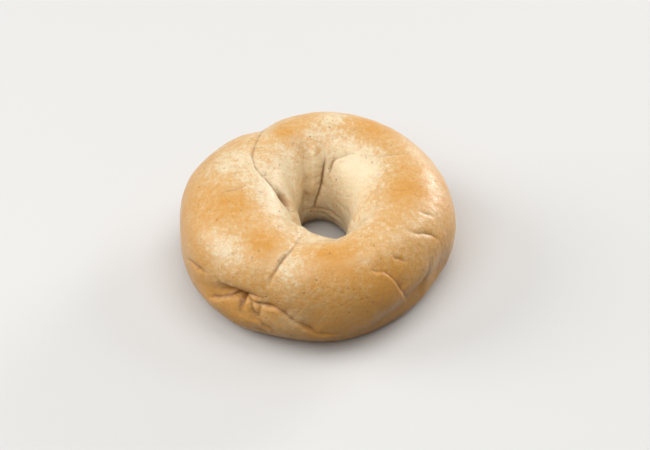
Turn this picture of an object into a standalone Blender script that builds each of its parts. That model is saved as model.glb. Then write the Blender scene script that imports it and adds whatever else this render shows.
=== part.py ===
# A plain baked bagel: one ring of dough with a flat base, a high round crest and a funnel-shaped
# hole, and the folds left where the rolled rope of dough was lapped over itself and pinched shut.
#
# Metres, +Z up, the origin in the middle of the base. Two angles place a point on the crust, both
# in degrees. "around" runs anticlockwise round the ring from +X, as seen from above. "over" runs
# round the rope of dough: 0 at the belly, 90 on the crest, 180 at the hole's waist, 270 underneath.

import math

import bpy
from mathutils import Vector

# Driving dimensions
OUTER_RADIUS = 0.0560  # to the belly, the widest part of the side
CREST_RADIUS = 0.0340  # to the highest line of the ring
HOLE_RADIUS = 0.0120  # to the waist, the narrowest part of the hole
CREST_HEIGHT = 0.0440
BELLY_HEIGHT = 0.0190
WAIST_HEIGHT = 0.0150
BASE_SINK = 0.0022  # how much of the round underside the baking sheet has flattened

# How square each quarter of the rope's section is: 2 is an ellipse, more is squarer.
SHOULDER, FUNNEL, UNDERSIDE = 2.15, 1.95, 2.4

# The dough isn't even. Every 30 degrees around, as shares of the four sizes above:
# outer radius, crest radius, hole radius, crest height.
STATIONS = (
    (0.990, 1.00, 0.92, 0.98),  # 0, the right
    (1.018, 1.04, 1.10, 1.00),
    (1.025, 1.10, 1.38, 1.02),
    (0.995, 1.12, 1.78, 1.02),  # 90, the far side
    (0.985, 1.04, 1.36, 1.00),
    (1.040, 0.94, 0.68, 1.00),
    (1.005, 0.94, 0.50, 0.99),  # 180, the left
    (0.985, 0.98, 0.60, 0.97),
    (0.930, 1.02, 0.62, 0.95),
    (0.925, 1.02, 0.86, 0.94),  # 270, the near side
    (0.942, 1.00, 0.96, 0.95),
    (0.937, 1.00, 0.94, 0.97),
)

# Each fold is a line of (around, over, depth in mm) and a width in mm, from its middle to where
# its sides have risen most of the way. A depth less than 0 stands proud.
FOLDS = {
    "lap_seam": (4.5, ((119, -35, 0.4), (119, 10, 1.3), (121, 60, 1.3), (134, 81, 0.8), (151, 92, 0.8),
                       (164, 112, 1.2), (176, 128, 1.8), (190, 139, 1.2), (203, 147, 0.3))),
    "hole_valley": (3.5, ((112, 112, 0.5), (107, 136, 2.2), (105, 155, 3.4),
                          (106, 178, 3), (105, 220, 0.5))),
    "near_lip": (9.0, ((215, 140, -0.3), (232, 138, -2), (252, 136, -3.6),
                       (272, 134, -3.2), (290, 132, -0.5))),
    "right_lip": (8.0, ((290, 138, 0.3), (303, 142, 2.8), (318, 145, 4),
                        (335, 146, 2.2), (350, 146, 0.3))),
    "hole_crease": (3.5, ((85, 96, 0.5), (87, 120, 1.6), (88, 150, 2.2), (93, 185, 1))),
    "near_seam": (4.5, ((250, 150, 0.5), (249, 122, 1), (246, 90, 1), (245, 62, 1.2), (247, 42, 0.5))),
    "side_pinch": (5.5, ((217, -8, 0.5), (225, 0, 1.6), (233, 8, 3.6), (240, 16, 1.8), (246, 20, 0.5))),
    "side_roll": (4.0, ((236, 6, 1.2), (245, 4, 1.4), (255, 0, 1.3), (266, -15, 1.2), (279, -30, 0.4))),
    "shoulder_fold": (4.5, ((295, 58, 0.3), (302, 42, 1.2), (308, 20, 1.6),
                            (312, -5, 1.4), (313, -30, 0.4))),
    "base_tuck": (8.0, ((228, -40, 0.4), (242, -38, 1.8), (256, -38, 2.4),
                        (270, -38, 1.5), (285, -38, 0.3))),
    "wall_dent": (8.0, ((346, 25, 0.3), (344, 5, 1.3), (343, -15, 1.5), (343, -35, 0.5))),
    "far_fold": (6.5, ((86, 130, 0.8), (70, 112, 1.2), (50, 96, 1), (33, 80, 1), (27, 50, 0.4))),
}
LINE_STEPS = 12  # how finely a fold's line is followed between two of its points

RINGS, SIDES = 96, 48  # how many sections the ring has, and how many corners each section has
MM = 0.001


def smooth(before, start, end, after, share):
    """A share of the way from start to end, on the smooth curve through all four values."""
    first, last, rise = (end - before) / 2, (after - start) / 2, end - start
    square, cubic = 3 * rise - 2 * first - last, first + last - 2 * rise
    return start + share * (first + share * (square + share * cubic))


def around_the_ring(values, around):
    """The stations' values at any angle around, on a closed curve through all of them."""
    place = around / 360 * len(values)
    first = math.floor(place)
    four = (values[(first + step) % len(values)] for step in (-1, 0, 1, 2))
    return smooth(*four, place - first)


def section_sizes(around):
    """Outer radius, crest radius, hole radius and crest height of the section at this angle."""
    nominal = OUTER_RADIUS, CREST_RADIUS, HOLE_RADIUS, CREST_HEIGHT
    return [size * around_the_ring(shares, around) for size, shares in zip(nominal, zip(*STATIONS))]


def squared(value, squareness):
    return math.copysign(abs(value) ** (2 / squareness), value)


def at(radius, around, height):
    turn = math.radians(around)
    return Vector((radius * math.cos(turn), radius * math.sin(turn), height))


def dough_point(around, over):
    """The point of the smooth dough, before any fold, at these two angles."""
    outer, crest, hole, height = section_sizes(around)
    out, up = math.cos(math.radians(over)), math.sin(math.radians(over))
    if up > 0:
        squareness = SHOULDER if out > 0 else FUNNEL
    else:
        squareness = UNDERSIDE
    reach = outer - crest if out > 0 else crest - hole
    middle = BELLY_HEIGHT if out > 0 else WAIST_HEIGHT
    rise = height - middle if up > 0 else middle + BASE_SINK
    return at(crest + reach * squared(out, squareness), around, middle + rise * squared(up, squareness))


def heart_point(around):
    """The middle of the rope, towards which every fold is pressed in."""
    outer, crest, hole, height = section_sizes(around)
    return at(crest, around, height / 2)


def fold_line(points):
    """The fold's line as (place, depth), close together along the smooth curve through its points."""
    padded = (points[0], *points, points[-1])
    line = []
    for four in zip(padded, padded[1:], padded[2:], padded[3:]):
        for step in range(LINE_STEPS):
            around, over, depth = (smooth(*values, step / LINE_STEPS) for values in zip(*four))
            line.append((dough_point(around, over), depth * MM))
    return line


def pressed_in(place, width, line):
    """How deep this fold presses the crust in at this place."""
    away, depth = min(((spot - place).length, depth) for spot, depth in line)
    return depth * math.exp(-((away / (width * MM)) ** 2))


def centre_on_axis(crust):
    """Slide the uneven ring sideways until the middle of its box is on the upright axis."""
    for axis in (0, 1):
        places = [corner.co[axis] for corner in crust.vertices]
        middle = (min(places) + max(places)) / 2
        for corner in crust.vertices:
            corner.co[axis] -= middle

def make_bagel():
    """The ring starts as a torus, and each of its corners moves to its place on the folded dough."""
    major, minor = 2.0, 1.0
    bpy.ops.mesh.primitive_torus_add(
        major_segments=RINGS, minor_segments=SIDES, major_radius=major, minor_radius=minor
    )
    bagel = bpy.context.object
    bagel.name = "bagel"
    lines = [(width, fold_line(points)) for width, points in FOLDS.values()]
    for corner in bagel.data.vertices:
        x, y, z = corner.co
        around = math.degrees(math.atan2(y, x)) % 360
        over = math.degrees(math.atan2(z, math.hypot(x, y) - major)) % 360
        place = dough_point(around, over)
        depth = sum(pressed_in(place, width, line) for width, line in lines)
        place += (heart_point(around) - place).normalized() * depth
        place.z = max(place.z, 0)
        corner.co = place
    centre_on_axis(bagel.data)
    bagel.data.shade_smooth()
    return bagel


def crust_material():
    """Pale golden crust with a soft shine."""
    crust = bpy.data.materials.new("golden_crust")
    crust.use_nodes = True
    shader = crust.node_tree.nodes["Principled BSDF"]
    shader.inputs["Base Color"].default_value = (0.72, 0.42, 0.17, 1)
    shader.inputs["Roughness"].default_value = 0.5
    shader.inputs["Metallic"].default_value = 0
    return crust


def main():
    for old in list(bpy.data.objects):
        bpy.data.objects.remove(old)
    bagel = make_bagel()
    bagel.data.materials.append(crust_material())
    baked = bpy.data.collections.new("bagel")
    bpy.context.scene.collection.children.link(baked)
    for shelf in list(bagel.users_collection):
        shelf.objects.unlink(bagel)
    baked.objects.link(bagel)


main()
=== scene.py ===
# A plain baked bagel, standing on a pale floor in soft daylight.
# Two angles place everything on the crust, both in degrees: around runs anticlockwise round the
# ring from +X, as seen from above; over runs round the rope of dough, 0 at the belly, 90 on the
# crest, 180 at the hole's waist and 270 underneath.

import math

import bpy
import numpy as np
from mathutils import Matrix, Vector, noise


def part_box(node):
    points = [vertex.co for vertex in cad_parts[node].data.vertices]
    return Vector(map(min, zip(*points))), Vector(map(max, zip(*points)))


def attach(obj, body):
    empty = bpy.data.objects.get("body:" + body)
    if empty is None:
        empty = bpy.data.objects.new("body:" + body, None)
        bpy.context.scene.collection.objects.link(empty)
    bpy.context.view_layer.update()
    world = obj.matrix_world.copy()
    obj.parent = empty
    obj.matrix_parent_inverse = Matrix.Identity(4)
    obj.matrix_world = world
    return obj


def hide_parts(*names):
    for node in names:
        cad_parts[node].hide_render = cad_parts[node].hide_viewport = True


mm = 0.001


class Wire:
    # one socket of a shader, so that masks can be written as plain sums
    def __init__(self, tree, socket=None):
        self.tree, self.socket = tree, socket

    def node(self, kind, settings=None, sockets=None, out=0):
        made = self.tree.nodes.new(kind)
        for name, value in (settings or {}).items():
            setattr(made, name, value)
        for key, value in (sockets or {}).items():
            if isinstance(value, Wire):
                self.tree.links.new(value.socket, made.inputs[key])
            else:
                made.inputs[key].default_value = value
        return Wire(self.tree, made.outputs[out] if made.outputs else None)

    def sum(self, operation, first, second):
        return self.node("ShaderNodeMath", {"operation": operation}, {0: first, 1: second})

    def __add__(self, other):
        return self.sum("ADD", self, other)

    def __radd__(self, other):
        return self.sum("ADD", other, self)

    def __sub__(self, other):
        return self.sum("SUBTRACT", self, other)

    def __rsub__(self, other):
        return self.sum("SUBTRACT", other, self)

    def __mul__(self, other):
        return self.sum("MULTIPLY", self, other)

    def __rmul__(self, other):
        return self.sum("MULTIPLY", other, self)

    def fade(self, low, high):  # 0 below low, 1 above high, smooth between
        settings = {"interpolation_type": "SMOOTHSTEP", "clamp": True}
        return self.node("ShaderNodeMapRange", settings, {"Value": self, "From Min": low, "From Max": high})

    def blend(self, under, over):  # this mask lays the colour over upon the colour under
        settings = {"data_type": "RGBA", "clamp_factor": True}
        return self.node("ShaderNodeMix", settings, {0: self, 6: under, 7: over}, out=2)


def newMaterial(name):
    made = bpy.data.materials.new(name)
    made.use_nodes = True
    made.node_tree.nodes.clear()
    return made, Wire(made.node_tree)


def colour(red, green, blue):
    return (red, green, blue, 1)


dough = {
    "outerRadius": 0.0560,  # to the belly
    "crestRadius": 0.0340,  # to the highest line of the ring
    "holeRadius": 0.0120,  # to the waist of the hole
    "crestHeight": 0.0440,
    "bellyHeight": 0.0190,
    "waistHeight": 0.0150,
    "baseSink": 0.0022,  # what the baking sheet has flattened
    "shoulder": 2.15,  # how square each quarter of the rope is, 2 is an ellipse
    "funnel": 1.95,
    "underside": 2.4,
    "rings": 500,  # sections round the ring
    "corners": 196,  # corners in each section
    "hiddenCorners": 0.35,  # how closely the corners stand underneath, beside those on top
    "shownFrom": -38,  # the over angles between which they stand closest
    "shownTo": 212,
    "shownEdge": 12.0,
    "stations": (  # every 30 degrees: shares of outer, crest and hole radius and of the height
        (0.990, 1.00, 0.92, 0.98),  # the right
        (1.018, 1.04, 1.10, 1.00),
        (1.025, 1.10, 1.38, 1.02),
        (0.995, 1.12, 1.78, 1.02),  # the far side
        (0.985, 1.04, 1.36, 1.00),
        (1.040, 0.94, 0.68, 1.00),
        (1.005, 0.94, 0.50, 0.99),  # the left
        (0.985, 0.98, 0.60, 0.97),
        (0.930, 1.02, 0.62, 0.95),
        (0.925, 1.02, 0.86, 0.94),  # the near side
        (0.942, 1.00, 0.96, 0.95),
        (0.937, 1.00, 0.94, 0.97),
    ),
}


def between(before, start, end, after, share):
    first, last, rise = (end - before) / 2, (after - start) / 2, end - start
    square, cubic = 3 * rise - 2 * first - last, first + last - 2 * rise
    return start + share * (first + share * (square + share * cubic))


def sizesAt(around):  # outer, crest and hole radius and height of the sections at these angles
    stations = np.array(dough["stations"])
    place = around / 360 * len(stations)
    first = np.floor(place).astype(int)
    four = [stations[(first + step) % len(stations)] for step in (-1, 0, 1, 2)]
    nominal = [dough[size] for size in ("outerRadius", "crestRadius", "holeRadius", "crestHeight")]
    return np.moveaxis(between(*four, (place - first)[..., None]) * nominal, -1, 0)


def atAngle(radius, around, height):
    turn = np.radians(around)
    return np.stack((radius * np.cos(turn), radius * np.sin(turn), height), -1)


def doughPoints(around, over):  # the smooth dough, before any fold
    outer, crest, hole, height = sizesAt(around % 360)
    out, up = np.cos(np.radians(over)), np.sin(np.radians(over))
    top = np.where(out > 0, dough["shoulder"], dough["funnel"])
    squareness = np.where(up > 0, top, dough["underside"])
    reach = np.where(out > 0, outer - crest, crest - hole)
    middle = np.where(out > 0, dough["bellyHeight"], dough["waistHeight"])
    rise = np.where(up > 0, height - middle, middle + dough["baseSink"])
    radius = crest + reach * np.sign(out) * np.abs(out) ** (2 / squareness)
    return atAngle(radius, around, middle + rise * np.sign(up) * np.abs(up) ** (2 / squareness))


def heartPoints(around):  # the middle of the rope, towards which the folds sink
    outer, crest, hole, height = sizesAt(around % 360)
    return atAngle(crest, around, height / 2)


# path: (around, over, depth in mm). left and right: how far each side takes to rise, in mm, left
# and right of the path's direction seen from outside. lip: how far the left side's edge stands
# proud, in mm, or the right side's where it is less than 0. soft: it has no sharp line. paintedShade:
# how wide the painted shade darkening its line reaches, in mm; a soft fold gets it only where given.
folds = {
    "lapSeam": {
        "path": ((119, 30, 0.2), (121, 60, 0.6), (130, 80, 0.7), (145, 90, 0.8), (156, 103, 0.8),
                 (165, 125, 1.0), (175, 140, 0.9), (184, 146, 0.2)),
        "left": 0.7, "right": 0.55, "lip": -0.1,
    },
    # the dark inside of this pit is painted shade
    "seamPit": {
        "path": ((164, 127, 0.5), (170, 137, 2.2), (178, 142, 0.5)),
        "left": 1.5, "right": 2.0, "lip": 0, "soft": True, "paintedShade": 1.6,
    },
    "seamHollow": {
        "path": ((154, 98, 0.1), (165, 125, 0.3), (190, 148, 0.1)),
        "left": 4.0, "right": 3.0, "lip": 0, "soft": True,
    },
    "seamBranch": {
        "path": ((157.5, 109, 0.5), (155, 111, 0.6), (153, 110, 0.2)),
        "left": 0.6, "right": 0.6, "lip": 0,
    },
    "seamNotch": {
        "path": ((119, -30, 0.4), (119, 5, 1.1), (119, 35, 1.3), (121, 60, 1.1), (126, 78, 0.4)),
        "left": 7.0, "right": 7.0, "lip": 0, "soft": True,
    },
    "holeValley": {
        "path": ((108, 116, 0.3), (104, 126, 1.2), (101.5, 138, 2.4), (102, 152, 3.4), (103.5, 166, 3.6),
                 (105, 178, 3.0), (107, 192, 2.0), (106, 215, 0.4)),
        "left": 2.6, "right": 2.2, "lip": 0, "soft": True,
    },
    "holeCrease": {
        "path": ((84, 132, 0.3), (84.5, 140, 1.2), (85.5, 150, 1.8), (87, 160, 2.0), (89, 169, 1.8),
                 (93, 179, 1.4), (95, 192, 0.5)),
        "left": 1.3, "right": 2.2, "lip": 0.15,
    },
    "hookCrease": {
        "path": ((80, 149, 0.3), (78.5, 146, 1.0), (77.5, 141, 1.4), (75.5, 135, 1.1), (71, 129.5, 0.6),
                 (66, 125, 0.4), (59, 119, 0.2)),
        "left": 1.0, "right": 1.2, "lip": -0.1,
    },
    "farFold": {
        "path": ((75, 137, 0.2), (64, 129, 0.5), (54, 119, 0.6), (45, 110, 0.6), (38, 99, 0.6),
                 (33, 88, 0.6), (30, 76, 0.5), (29, 60, 0.2)),
        "left": 4.5, "right": 3.5, "lip": 0, "soft": True,
    },
    "farLine": {
        "path": ((47, 112, 0.1), (38, 102, 0.25), (33, 88, 0.35), (31, 80, 0.25), (30, 70, 0.1)),
        "left": 0.8, "right": 0.8, "lip": 0,
    },
    "waistRing": {
        "path": ((106, 191, 0.2), (97, 190, 0.5), (88, 190, 0.6), (76, 189, 0.6), (62, 187, 0.5),
                 (46, 186, 0.4), (34, 182, 0.1)),
        "left": 0.6, "right": 0.6, "lip": 0,
    },
    "lowerRing": {
        "path": ((94, 197, 0.2), (86, 199, 0.4), (77, 203, 0.4), (66, 201, 0.4), (54, 196, 0.1)),
        "left": 0.6, "right": 0.6, "lip": 0,
    },
    "upperRing": {
        "path": ((66, 168, 0.1), (56, 168, 0.3), (45, 166, 0.35), (30, 163, 0.35), (15, 160, 0.3),
                 (0, 156, 0.1)),
        "left": 0.7, "right": 0.7, "lip": 0,
    },
    "nearSeam": {
        "path": ((249, 128, 0.3), (251, 112, 0.5), (251.5, 100, 0.5), (251, 89, 0.9), (250, 81, 1.1),
                 (249, 71, 1.1), (248.5, 63, 1.1), (248, 56, 0.9), (246.5, 47, 0.5), (246, 38, 0.2)),
        "left": 1.0, "right": 0.55, "lip": -0.2,
    },
    "nearHollow": {
        "path": ((262, 140, 0.4), (257, 115, 1.0), (253, 90, 1.2), (249, 70, 1.3), (246, 50, 1.2),
                 (245, 32, 0.6)),
        "left": 6.5, "right": 5.0, "lip": 0, "soft": True,
    },
    # the dark middle of this pinch is painted shade
    "sidePinch": {
        "path": ((231.5, 12, 1.2), (232.5, 8.5, 3.6), (233.5, 4, 3.8), (234.5, -2, 1.2)),
        "left": 1.0, "right": 1.6, "lip": 0.1, "paintedShade": 1.4,
    },
    "pinchHollow": {
        "path": ((221, 7, 0.4), (227, 9, 1.6), (232, 10, 2.2), (238, 10, 1.2), (246, 11, 0.3)),
        "left": 3.2, "right": 5.0, "lip": 0, "soft": True,
    },
    "pinchFacet": {
        "path": ((222, 5, 0.6), (226, 7, 2.0), (230, 8.5, 3.0), (233, 9, 2.6)),
        "left": 1.7, "right": 1.7, "lip": 0, "soft": True,
    },
    "pinchUpperLeft": {
        "path": ((222, 15.5, 0.2), (223.5, 14, 1.0), (226, 14.5, 1.3), (230, 13.5, 1.8), (233.5, 12, 2.2)),
        "left": 0.8, "right": 2.4, "lip": 0.2,
    },
    "pinchLowerLeft": {
        "path": ((217, -7, 0.2), (219, -4, 0.9), (223, -1, 1.5), (227, 3, 1.6), (231, 7, 1.6),
                 (234, 9, 1.6)),
        "left": 2.2, "right": 0.7, "lip": -0.12,
    },
    "pinchUpperRight": {
        "path": ((234, 13, 1.8), (237, 16, 1.4), (240, 17.5, 1.1), (244, 18, 0.3)),
        "left": 1.2, "right": 1.0, "lip": -0.35,
    },
    "pinchLeaf": {
        "path": ((234.5, 12, 1.4), (237.5, 10.5, 1.3), (241, 9.5, 1.0), (244, 9.5, 0.9), (248, 10.5, 0.5)),
        "left": 0.9, "right": 0.9, "lip": 0.2,
    },
    "pinchBlock": {
        "path": ((238.5, 9, 0.4), (239.5, 4, 0.8), (240.5, 0, 1.2), (243, -2, 1.0), (243.5, 3, 0.8),
                 (243.5, 8, 0.4)),
        "left": 1.1, "right": 0.8, "lip": 0.2,
    },
    "pinchFlap": {
        "path": ((239, -5, 0.2), (242, -5, 0.7), (244.5, -6, 0.8), (246, -10, 0.8), (249, -12, 0.6),
                 (251, -17, 0.2)),
        "left": 1.2, "right": 0.7, "lip": -0.3,
    },
    "pinchNick": {
        "path": ((241, -22, 0.2), (244, -20, 0.7), (245.5, -24, 0.7), (248, -27, 0.2)),
        "left": 1.0, "right": 0.8, "lip": 0,
    },
    "rollSeam": {
        "path": ((244, 9, 0.5), (247, 10.5, 1.1), (250, 11, 1.5), (253, 9, 1.6), (256, 5, 1.6),
                 (259, 1, 1.6), (263, -2, 1.5), (267, -7, 1.2), (270, -12, 0.9), (275, -14.5, 0.6),
                 (281, -17, 0.2)),
        "left": 3.4, "right": 0.8, "lip": -0.4,
    },
    "leftEdge": {
        "path": ((199, 5, 0.2), (202, 9, 0.7), (205, 11, 1.1), (208, 12, 1.3), (211, 14, 1.2),
                 (213, 15, 0.4)),
        "left": 1.0, "right": 0.7, "lip": 0.1,
    },
    "shoulderFold": {
        "path": ((297, 54, 0.2), (299, 50, 0.8), (302, 47, 1.1), (304.5, 40.5, 1.3), (307, 31, 1.4),
                 (309, 20, 1.4), (311, 8, 1.3), (314, -5, 1.1), (317, -16, 0.6), (319, -28, 0.2)),
        "left": 2.8, "right": 0.6, "lip": -0.35,
    },
    "rightCrease": {
        "path": ((326, 78, 0.1), (329, 66, 0.3), (331.5, 57, 0.6), (335, 49.5, 0.8), (338.5, 40, 0.7),
                 (341, 28, 0.3)),
        "left": 0.9, "right": 1.0, "lip": 0.05,
    },
    "rightNick": {
        "path": ((344, 70, 0.1), (345, 66, 0.3), (345.5, 62, 0.5), (346.5, 56, 0.5), (347, 51, 0.2)),
        "left": 0.8, "right": 0.8, "lip": 0.05,
    },
    "rightGouge": {
        "path": ((311.5, 56, 0.2), (312.5, 52, 0.8), (314.5, 47, 1.0), (316.5, 42, 0.2)),
        "left": 0.9, "right": 0.7, "lip": 0.15,
    },
    "rightDent": {
        "path": ((12, 118, 0.2), (6, 114, 0.5), (359, 108, 0.2)),
        "left": 1.4, "right": 1.6, "lip": 0.1,
    },
    "rightWall": {
        "path": ((331, 25, 0.1), (330, 10, 0.5), (328.5, -4, 0.8), (327, -20, 0.4)),
        "left": 2.2, "right": 1.4, "lip": 0, "soft": True,
    },
    "leftCrack": {
        "path": ((185, 72, 0.1), (183, 77, 0.35), (182, 83, 0.45), (180, 90, 0.45), (176, 98, 0.15)),
        "left": 0.9, "right": 0.6, "lip": 0,
    },
    "leftScratch": {
        "path": ((158, 77, 0.1), (160, 79, 0.35), (163, 81, 0.1)),
        "left": 0.6, "right": 0.6, "lip": 0,
    },
    "leftTick": {
        "path": ((160.5, 82, 0.1), (160, 86, 0.3), (158.5, 90, 0.1)),
        "left": 0.6, "right": 0.6, "lip": 0,
    },
    "leftSplit": {
        "path": ((163, 85, 0.1), (167, 85.5, 0.3), (173, 86, 0.1)),
        "left": 0.6, "right": 0.6, "lip": 0,
    },
    "rightLip": {  # the hole's near right corner is cut back
        "path": ((290, 138, 0.3), (303, 142, 3.2), (318, 145, 5.2), (333, 146, 3.4), (350, 146, 0.3)),
        "left": 8.0, "right": 8.0, "lip": 0, "soft": True,
    },
    "baseTuck": {  # the near side's foot is drawn in
        "path": ((228, -40, 0.4), (242, -38, 1.8), (256, -38, 2.6), (270, -38, 2.4), (288, -36, 2.0),
                 (304, -34, 1.4), (318, -32, 0.3)),
        "left": 8.0, "right": 8.0, "lip": 0, "soft": True,
    },
    "wallDent": {
        "path": ((346, 25, 0.3), (344, 5, 1.0), (343, -15, 1.2), (343, -35, 0.5)),
        "left": 8.0, "right": 8.0, "lip": 0, "soft": True,
    },
    "backFold": {  # the hidden far side has creases of its own
        "path": ((58, 40, 0.2), (62, 25, 0.9), (69, 8, 1.3), (72, -10, 0.9), (71, -28, 0.2)),
        "left": 2.8, "right": 1.0, "lip": -0.3,
    },
    "backTuck": {
        "path": ((96, 2, 0.2), (103, -6, 0.9), (111, -8, 1.1), (119, -14, 0.4)),
        "left": 1.0, "right": 2.2, "lip": 0.3,
    },
    "backNick": {
        "path": ((150, 14, 0.2), (153, 8, 0.8), (158, 4, 0.9), (163, 3, 0.2)),
        "left": 1.2, "right": 1.2, "lip": 0.15,
    },
}

swells = (  # soft ridges: their path as (around, over, height in mm), and their width in mm
    (((215, 140, 0.3), (232, 138, 2.0), (252, 136, 3.6), (272, 134, 3.2), (290, 132, 0.5)), 9.0),
    (((92, 122, 0.3), (94, 130, 1.2), (96, 143, 2.0), (97.5, 157, 2.0), (99.5, 172, 1.2),
      (100, 182, 0.3)), 2.6),
    (((116, 108, 0.3), (114, 118, 1.0), (114, 130, 2.0), (116, 145, 2.4), (118, 160, 1.8),
      (120, 180, 0.5)), 4.0),
    (((228, -6, 0.2), (236, -8, 0.6), (245, -6, 0.7), (256, -9, 0.5), (266, -15, 0.3)), 5.0),
    (((232, 10, 0.2), (222, -8, 0.8), (214, -12, 0.4)), 4.0),
    (((235.5, 9, 0.3), (237, 5, 0.9), (238, 0, 0.3)), 1.2),
    (((238, 138, 0.2), (243, 136, 0.7), (248, 135, 0.2)), 1.5),
    (((256, 137, 0.2), (262, 136, 0.6), (268, 136, 0.2)), 2.0),
    (((237, 12, 0.2), (240, 13, 0.6), (243, 12.5, 0.2)), 1.0),
    (((290, 44, 0.2), (301, 30, 0.7), (305, 10, 0.8), (309, -10, 0.3)), 5.5),
)

foldMaking = {
    "batch": 4000,  # corners measured at a time
    "lineStep": 0.3,  # mm between the points that a fold's line is followed by
    "reach": 7.0,  # how many times its width a fold is felt
    "pull": 0.7,  # how strongly the corners gather along a fold's line
    "pullWidth": 0.9,  # and from how far, in mm
    "pullDepth": 0.5,  # the depth in mm from which they gather fully
    "lipPlace": 1.3,  # how far from the line a lip stands, in mm
    "lipWidth": 1.0,
    "paintedShadeWidth": 0.45,  # of the painted shade along a sharp fold's line, in mm
    "paintedShadeDepth": 0.9,  # the depth in mm that darkens the painted shade by one
    "paintedShadeMost": 1.7,
    "sharpBend": 2.4,  # width in mm above which a sharp fold strays in wider bends
    "softBend": 1.0,
    "waverSpread": 7.3,  # sets each line's wander apart from the others'
    "wander": ((5.0, 0.35), (1.7, 0.16)),  # how a line strays: mm from bend to bend, mm to a side
    "unevenness": ((3.0, 0.45), (1.3, 0.25)),  # how its depth changes: mm from step to step, share
}


def unit(vectors):
    return vectors / np.maximum(np.linalg.norm(vectors, axis=-1, keepdims=True), 1e-12)


def waver(gone, waves, coarseness, seed):  # uneven ups and downs along a line
    total = np.zeros(len(gone))
    for length, height in waves:
        length *= coarseness
        start = Vector(seed / mm / foldMaking["waverSpread"] + length)
        steps = [noise.noise(start + Vector((step / length, 0, 0))) for step in gone]
        total += height * np.array(steps)
    return total


def foldLine(fold):  # close points along it, their depth in mm, the way to the left and the way on
    path = fold["path"]
    # a wide fold strays in wide bends, and a soft one in wider bends still
    bend = foldMaking["softBend" if fold.get("soft") else "sharpBend"]
    coarseness = max(1, (fold["left"] + fold["right"]) / bend)
    padded = np.array((path[0], *path, path[-1]), float)
    rows = []
    for four in zip(padded, padded[1:], padded[2:], padded[3:]):
        ends = doughPoints(np.array([four[1][0], four[2][0]]), np.array([four[1][1], four[2][1]]))
        count = max(2, int(np.linalg.norm(ends[1] - ends[0]) / mm / foldMaking["lineStep"]))
        rows += [between(*four, step / count) for step in range(count)]
    around, over, depth = np.array(rows).T
    spots = doughPoints(around, over)
    along = unit(np.gradient(spots, axis=0))
    leftwards = unit(np.cross(unit(spots - heartPoints(around)), along))
    gone = np.arange(len(spots)) * foldMaking["lineStep"]
    spots = spots + leftwards * (waver(gone, foldMaking["wander"], coarseness, spots[0]) * mm)[:, None]
    depth = depth * (1 + waver(gone, foldMaking["unevenness"], coarseness, spots[-1]))
    along = unit(np.gradient(spots, axis=0))
    return spots, np.maximum(depth, 0), leftwards, along


def besideFold(fold, line, places):
    # the corners near this fold, how far left of it each is in mm, and the fold's depth there
    spots, depths, leftwards, along = line
    reach = max(fold["left"], fold["right"]) * foldMaking["reach"] * mm
    low, high = spots.min(0) - reach, spots.max(0) + reach
    near = np.nonzero(np.all((places > low) & (places < high), axis=1))[0]
    closest = np.empty(len(near), int)
    for start in range(0, len(near), foldMaking["batch"]):
        some = slice(start, start + foldMaking["batch"])
        gaps = places[near[some], None, :] - spots[None]
        closest[some] = np.argmin((gaps ** 2).sum(-1), axis=1)
    gap = (places[near] - spots[closest]) / mm
    side = (gap * leftwards[closest]).sum(-1)
    beyond = np.maximum(np.abs((gap * along[closest]).sum(-1)) - foldMaking["lineStep"], 0)
    return near, side, np.hypot(side, beyond), depths[closest], leftwards[closest]


def gatherCorners(places):  # corners slide towards each fold's line, so that the line stays crisp
    for fold in folds.values():
        near, side, away, depth, leftwards = besideFold(fold, foldLine(fold), places)
        strength = foldMaking["pull"] * np.minimum(depth / foldMaking["pullDepth"], 1)
        strength = strength * np.exp(-((away / foldMaking["pullWidth"]) ** 2))
        places[near] -= leftwards * (side * strength * mm)[:, None]


def swellHeights(places):
    heights = np.zeros(len(places))
    for path, width in swells:
        ridge = {"path": path, "left": width, "right": width, "soft": True}
        near, side, away, height, leftwards = besideFold(ridge, foldLine(ridge), places)
        heights[near] += height * np.exp(-((away / width) ** 2))
    return heights * mm


def pressFolds(places):  # how deep each corner sinks, and how much painted shade it gets from lying in a crease
    sunk = np.zeros(len(places))
    creaseShade = np.zeros(len(places))
    for fold in folds.values():
        near, side, away, depth, leftwards = besideFold(fold, foldLine(fold), places)
        width = np.where(side > 0, fold["left"], fold["right"])
        valley = np.exp(-((away / width) ** (2 if fold.get("soft") else 1)))
        lipSide = side if fold["lip"] > 0 else -side
        beside = (lipSide - foldMaking["lipPlace"]) / foldMaking["lipWidth"]
        lip = abs(fold["lip"]) * np.exp(-(beside ** 2))
        lip *= np.minimum(depth, 1) * np.exp(-np.maximum(away - np.abs(side), 0))
        sunk[near] += depth * valley - lip
        # painted shade: a fold's line is darkened in the colour, as if shade lay in it
        if "paintedShade" in fold or not fold.get("soft"):
            paintedShade = np.minimum(depth / foldMaking["paintedShadeDepth"], foldMaking["paintedShadeMost"])
            paintedShade = paintedShade * np.exp(-((away / fold.get("paintedShade", foldMaking["paintedShadeWidth"])) ** 2))
            creaseShade[near] = np.maximum(creaseShade[near], paintedShade)
    return sunk * mm, creaseShade


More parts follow.
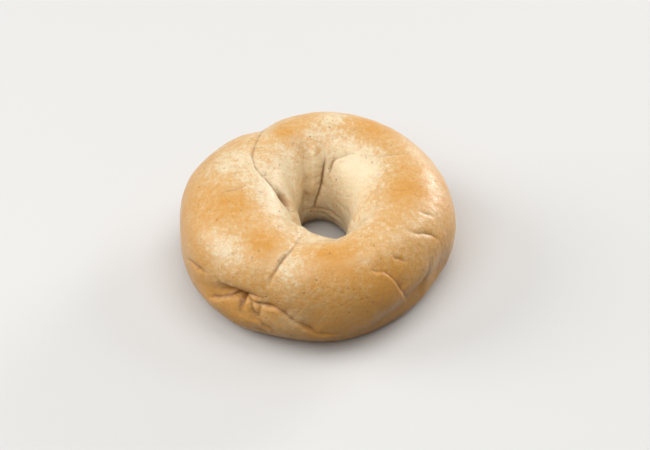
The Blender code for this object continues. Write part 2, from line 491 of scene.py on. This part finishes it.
skin = {
    "lumps": ((22.0, 0.55), (9.0, 0.22), (4.0, 0.08), (1.9, 0.035)),  # mm across and mm high
    "wrinkleSize": 1.5,  # mm from one wrinkle to the next
    "wrinkleStretch": 0.22,  # the less, the longer the wrinkles run over the rope
    "wrinkleDepth": 0.05,
    "ropeRadius": 20.0,  # about, in mm, so that a degree over the rope is a length
    "blisters": (  # around, over, mm across, mm high
        (222.5, 54, 2.4, 0.5), (228, 31, 2.0, 0.22), (214, 40, 1.8, 0.2), (236, 36, 2.2, 0.2),
        (84, 134, 2.2, 0.3), (20, 62, 2.0, 0.18), (356, 52, 2.4, 0.22), (318, 58, 2.2, 0.25),
        (305, 72, 1.8, 0.16), (134, 96, 2.0, 0.2), (262, 44, 2.0, 0.16), (140, 20, 2.4, 0.3),
        (60, 30, 2.6, 0.3), (100, 25, 2.2, 0.25), (12, -10, 2.4, 0.25),
    ),
}


def lumpHeights(places):
    heights = np.zeros(len(places))
    for size, height in skin["lumps"]:
        scale = 1 / (size * mm)
        offset = Vector((size, 0, -size))
        heights += height * np.array([noise.noise(Vector(place) * scale + offset) for place in places])
    return heights * mm


def wrinkleHeights(around, over):
    ring = dough["crestRadius"] / mm
    height = over * math.radians(skin["ropeRadius"]) * skin["wrinkleStretch"]
    spots = atAngle(np.full(len(around), ring), around, height)
    spots = spots / skin["wrinkleSize"]
    return skin["wrinkleDepth"] * mm * np.array([noise.noise(Vector(spot)) for spot in spots])


def blisterHeights(places):
    heights = np.zeros(len(places))
    for around, over, across, height in skin["blisters"]:
        spot = doughPoints(np.array([around]), np.array([over]))[0]
        away = np.linalg.norm(places - spot, axis=1) / (across / 2 * mm)
        heights += height * mm * np.maximum(1 - away ** 2, 0) ** 1.5
    return heights


# how brown the crust is; this also holds painted shade low on the rope and on the near right side, and a
# painted sheen on the near left side
browningAndShading = {
    "overTheRope": (  # over, how brown; browner towards the base, partly the real bake and partly painted shade
        (-90, 1.0), (-20, 1.0), (30, 0.7), (60, 0.5), (90, 0.5), (120, 0.25), (140, 0.05), (200, 0.0),
        (270, 0.75),
    ),
    "browner": 0.4,  # how much every brown area adds
    "paler": 0.35,  # how much every pale area takes away
    "brownAreas": {  # around, over, spread in mm
        "leftShoulder": (195, 80, 12),
        "nearLeftShoulder": (235, 82, 9),
        "besideTheLap": (110, 92, 6),
        "farRight": (54, 82, 10),
        "rightShoulder": (0, 88, 12),
        "nearShoulder": (280, 80, 10),
        # painted shade: browner where the near right belly lies in shade
        "nearRightSideShade": (300, 18, 16),
        "seamPit": (170, 139, 3),
    },
    "paleAreas": {
        "lapTop": (150, 82, 12),
        "underTheSeam": (182, 114, 9),
        "farSpot": (80, 84, 5),
        "funnelWall": (50, 125, 12),
        "besideTheNearSeam": (251, 70, 6),
        # painted sheen: paler where the gloss on the near left side shows
        "nearLeftSideSheen": (220, 50, 9),
        "rollTop": (259, 0, 5),
    },
}


# the browning at each corner, with the painted shade and painted sheen in it
def browningAndShadingAt(around, over, places):
    turned = np.where(over > 270, over - 360, over)
    curve = np.array(browningAndShading["overTheRope"])
    brown = np.interp(turned, curve[:, 0], curve[:, 1])
    for areas, amount in (("brownAreas", browningAndShading["browner"]), ("paleAreas", -browningAndShading["paler"])):
        for areaAround, areaOver, spread in browningAndShading[areas].values():
            spot = doughPoints(np.array([areaAround]), np.array([areaOver]))[0]
            away = np.linalg.norm(places - spot, axis=1) / (spread * mm)
            brown += amount * np.exp(-(away ** 2))
    return brown


def cornerAngles():  # over angles of a section's corners, closer together where they show
    turns = np.linspace(-90, 270, 1441)
    edge = dough["shownEdge"]
    rising = 1 + np.exp(-(turns - dough["shownFrom"]) / edge)
    falling = 1 + np.exp((turns - dough["shownTo"]) / edge)
    shown = 1 / rising / falling
    crowding = dough["hiddenCorners"] + (1 - dough["hiddenCorners"]) * shown
    share = np.concatenate(([0], np.cumsum((crowding[1:] + crowding[:-1]) / 2)))
    count = dough["corners"]
    return np.interp(np.arange(count) / count * share[-1], share, turns) % 360


def makeBagel():
    rings, corners = dough["rings"], dough["corners"]
    around = np.repeat(np.arange(rings) * 360 / rings, corners)
    over = np.tile(cornerAngles(), rings)
    places = doughPoints(around, over)
    gatherCorners(places)
    inwards = unit(heartPoints(around) - places)
    sunk, creaseShade = pressFolds(places)
    raised = swellHeights(places) + lumpHeights(places)
    raised = raised + wrinkleHeights(around, over) + blisterHeights(places)
    brown = browningAndShadingAt(around, over, places)
    places = places + inwards * (sunk - raised)[:, None]
    places[:, 2] = np.maximum(places[:, 2], 0)

    low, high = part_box("bagel")
    places[:, 0] += (low[0] + high[0] - places[:, 0].min() - places[:, 0].max()) / 2
    places[:, 1] += high[1] - places[:, 1].max()

    ring = np.arange(rings)[:, None] * corners
    nextRing = np.roll(ring, -1, axis=0)
    corner = np.arange(corners)[None, :]
    nextCorner = np.roll(corner, -1, axis=1)
    quads = np.stack((ring + corner, nextRing + corner, nextRing + nextCorner, ring + nextCorner), -1)
    mesh = bpy.data.meshes.new("bagelCrust")
    mesh.from_pydata(places.tolist(), [], quads.reshape(-1, 4).tolist())
    # the browning, with its painted shade and painted sheen, and the folds' painted shade go with the
    # corners
    for name, values in (("browningAndShading", brown), ("creaseShade", creaseShade)):
        layer = mesh.attributes.new(name, "FLOAT", "POINT")
        layer.data.foreach_set("value", values.astype(np.float32))
    mesh.shade_smooth()
    piece = bpy.data.objects.new("bagelCrust", mesh)
    bpy.context.scene.collection.objects.link(piece)
    return piece


crust = {
    "pale": colour(0.930, 0.770, 0.510),
    "golden": colour(0.800, 0.475, 0.185),
    "brown": colour(0.750, 0.355, 0.065),
    "dark": colour(0.500, 0.190, 0.035),
    "pore": colour(0.450, 0.190, 0.055),
    # the colour of the painted shade in the folds' lines and the seam's pit
    "creaseShadeColour": colour(0.240, 0.090, 0.018),
    "roughness": 0.48,
    "shine": 0.35,  # of the crust itself, under the coat
    "coat": 0.38,
    "coatRoughness": 0.28,
    "softness": 0.15,  # how much light spreads under the skin
    "softScale": 0.001,
    "softTint": (1.0, 0.5, 0.25),
    "bumpHeight": 0.0004,
    "patches": (70, 3.0, 0.55, 0.0),  # each cloud's scale, detail, roughness and lift
    "mottling": (380, 3.0, 0.6, 1.3),
    "flecks": (1100, 2.0, 0.6, 2.7),
    "grain": (1500, 2.0, 0.6, 3.3),
    "pebbles": (520, 3.0, 0.55, 4.2),
    "pores": (400, 0.75, 0.22),  # scale, share of the cells, size in cells
    "specks": (800, 0.5, 0.30),
}


def crustMaterial():
    material, wire = newMaterial("bakedCrust")
    where = wire.node("ShaderNodeTexCoord", out=3)

    def cloud(scale, detail, roughness, lift):  # soft noise between 0 and 1
        shifted = wire.node("ShaderNodeVectorMath", {"operation": "ADD"}, {0: where, 1: (lift, lift, -lift)})
        sockets = {"Vector": shifted, "Scale": scale, "Detail": detail, "Roughness": roughness}
        return wire.node("ShaderNodeTexNoise", {"noise_dimensions": "3D"}, sockets)

    def pits(scale, share, size):  # round spots, in this share of the cells, up to this many cells wide
        sockets = {"Vector": where, "Scale": scale}
        gap = wire.node("ShaderNodeTexVoronoi", {"feature": "F1"}, sockets)
        chance = wire.node("ShaderNodeTexVoronoi", {"feature": "F1"}, sockets, out=1)
        chance = wire.node("ShaderNodeSeparateColor", {}, {"Color": chance})
        return ((chance - (1 - share)) * (size / share) - gap).fade(0.0, size * 0.5)

    # the browning, with painted shade low on the rope and at the near right, and a painted sheen at the near
    # left
    brown = wire.node("ShaderNodeAttribute", {"attribute_name": "browningAndShading"}, out=2)
    # painted shade along the folds' lines
    creaseShade = wire.node("ShaderNodeAttribute", {"attribute_name": "creaseShade"}, out=2)
    patchy = cloud(*crust["patches"])
    mottled = cloud(*crust["mottling"])
    fleck = cloud(*crust["flecks"])
    bakeAndShading = brown + (patchy - 0.5) * 0.8 + (mottled - 0.5) * 1.2 + (fleck - 0.5) * 1.1

    tone = bakeAndShading.fade(-0.1, 0.62).blend(crust["pale"], crust["golden"])
    tone = bakeAndShading.fade(0.5, 1.05).blend(tone, crust["brown"])
    tone = (bakeAndShading.fade(1.0, 1.7) * 0.6).blend(tone, crust["dark"])
    pores = pits(*crust["pores"])
    tone = (pores * 0.65).blend(tone, crust["pore"])
    tone = (pits(*crust["specks"]) * 0.35).blend(tone, crust["brown"])
    # painted shade: each fold's line is darkened towards a shadow brown
    tone = (creaseShade * 0.5).blend(tone, crust["creaseShadeColour"])

    grain = cloud(*crust["grain"])
    pebble = cloud(*crust["pebbles"])
    skinBump = grain * 0.35 + pebble - pores * 0.6
    bumpSockets = {"Strength": 1.0, "Distance": crust["bumpHeight"], "Height": skinBump}
    bump = wire.node("ShaderNodeBump", {}, bumpSockets)
    rough = crust["roughness"] + (patchy - 0.5) * 0.4 + (mottled - 0.5) * 0.4
    coat = (crust["coat"] + (mottled - 0.5) * 1.6 + (fleck - 0.5) * 1.2).fade(0.0, 1.0)

    shader = wire.node("ShaderNodeBsdfPrincipled", {}, {
        "Base Color": tone, "Roughness": rough, "Normal": bump,
        "Specular IOR Level": crust["shine"],
        "Coat Weight": coat, "Coat Roughness": crust["coatRoughness"],
        "Subsurface Weight": crust["softness"], "Subsurface Scale": crust["softScale"],
        "Subsurface Radius": crust["softTint"],
    })
    wire.node("ShaderNodeOutputMaterial", {}, {"Surface": shader})
    return material


studio = {
    "floor": colour(0.80, 0.79, 0.77),
    "floorBounce": colour(0.08, 0.08, 0.08),  # the floor as the bagel's underside sees it
    "floorWidth": 3.0,
    "daylight": 0.26,
    "backdrop": 0.50,  # the daylight as it is seen, not as it lights
    "sensor": 36,
    "lens": 200,
    "distance": 1.459,
    "elevation": 43.5,
    "aim": (0.0030, -0.0020, 0.0229),
    "lamps": {  # azimuth, elevation, distance, width, power
        "windowLamp": (175, 31, 1.3, 0.8, 6.6),
        "frontLamp": (238, 60, 1.3, 1.0, 5.9),
        "roofLamp": (20, 78, 1.3, 0.8, 4.0),
        "backLamp": (46, 12, 1.2, 0.5, 7.0),
        "sideLamp": (20, 38, 1.3, 0.4, 1.5),
    },
}


def onSphere(azimuth, elevation, distance):
    flat = math.cos(math.radians(elevation)) * distance
    height = math.sin(math.radians(elevation)) * distance
    turn = math.radians(azimuth)
    return Vector((flat * math.cos(turn), flat * math.sin(turn), height))


def aimAt(thing, target):
    thing.rotation_euler = (target - thing.location).to_track_quat("-Z", "Y").to_euler()


def seenRays(wire):  # 1 where the camera, a reflection or a clear surface looks
    return (wire.node("ShaderNodeLightPath", out=0) + wire.node("ShaderNodeLightPath", out=3)
            + wire.node("ShaderNodeLightPath", out=6)).fade(0.0, 1.0)


def makeFloor():
    half = studio["floorWidth"] / 2
    corners = [(-half, -half, 0), (half, -half, 0), (half, half, 0), (-half, half, 0)]
    mesh = bpy.data.meshes.new("studioFloor")
    mesh.from_pydata(corners, [], [(0, 1, 2, 3)])
    floor = bpy.data.objects.new("studioFloor", mesh)
    bpy.context.scene.collection.objects.link(floor)
    material, wire = newMaterial("paleFloor")
    tone = seenRays(wire).blend(studio["floorBounce"], studio["floor"])
    shader = wire.node("ShaderNodeBsdfPrincipled", {}, {"Base Color": tone, "Roughness": 0.8})
    wire.node("ShaderNodeOutputMaterial", {}, {"Surface": shader})
    mesh.materials.append(material)
    return floor


def makeLamps():
    target = Vector(studio["aim"])
    for name, (azimuth, elevation, distance, width, power) in studio["lamps"].items():
        light = bpy.data.lights.new(name, "AREA")
        light.shape, light.size, light.energy = "DISK", width, power
        lamp = bpy.data.objects.new(name, light)
        bpy.context.scene.collection.objects.link(lamp)
        lamp.location = onSphere(azimuth, elevation, distance)
        aimAt(lamp, target)
    world = bpy.data.worlds.new("daylight")
    world.use_nodes = True
    world.node_tree.nodes.clear()
    wire = Wire(world.node_tree)
    strength = studio["daylight"] + seenRays(wire) * (studio["backdrop"] - studio["daylight"])
    sky = wire.node("ShaderNodeBackground", {}, {"Color": colour(1, 1, 1), "Strength": strength})
    wire.node("ShaderNodeOutputWorld", {}, {"Surface": sky})
    bpy.context.scene.world = world


def makeCamera():
    target = Vector(studio["aim"])
    eye = bpy.data.objects.new("camera", bpy.data.cameras.new("camera"))
    bpy.context.scene.collection.objects.link(eye)
    eye.data.lens = studio["lens"]
    eye.data.sensor_width = studio["sensor"]
    eye.location = target + onSphere(-90, studio["elevation"], studio["distance"])
    aimAt(eye, target)
    bpy.context.scene.camera = eye


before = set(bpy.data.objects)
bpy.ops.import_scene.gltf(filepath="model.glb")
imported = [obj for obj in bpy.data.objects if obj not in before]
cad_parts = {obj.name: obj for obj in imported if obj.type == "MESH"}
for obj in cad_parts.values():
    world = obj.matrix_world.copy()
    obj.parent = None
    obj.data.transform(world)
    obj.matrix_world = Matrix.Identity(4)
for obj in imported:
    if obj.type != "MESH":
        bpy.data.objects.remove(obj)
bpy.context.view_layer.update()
bagel = makeBagel()
bagel.data.materials.append(crustMaterial())
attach(bagel, "root")
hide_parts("bagel")
print("bagel done:", len(bagel.data.polygons), "faces")

makeFloor()
makeLamps()
makeCamera()
bpy.context.scene.view_settings.view_transform = "Standard"
print("studio done")
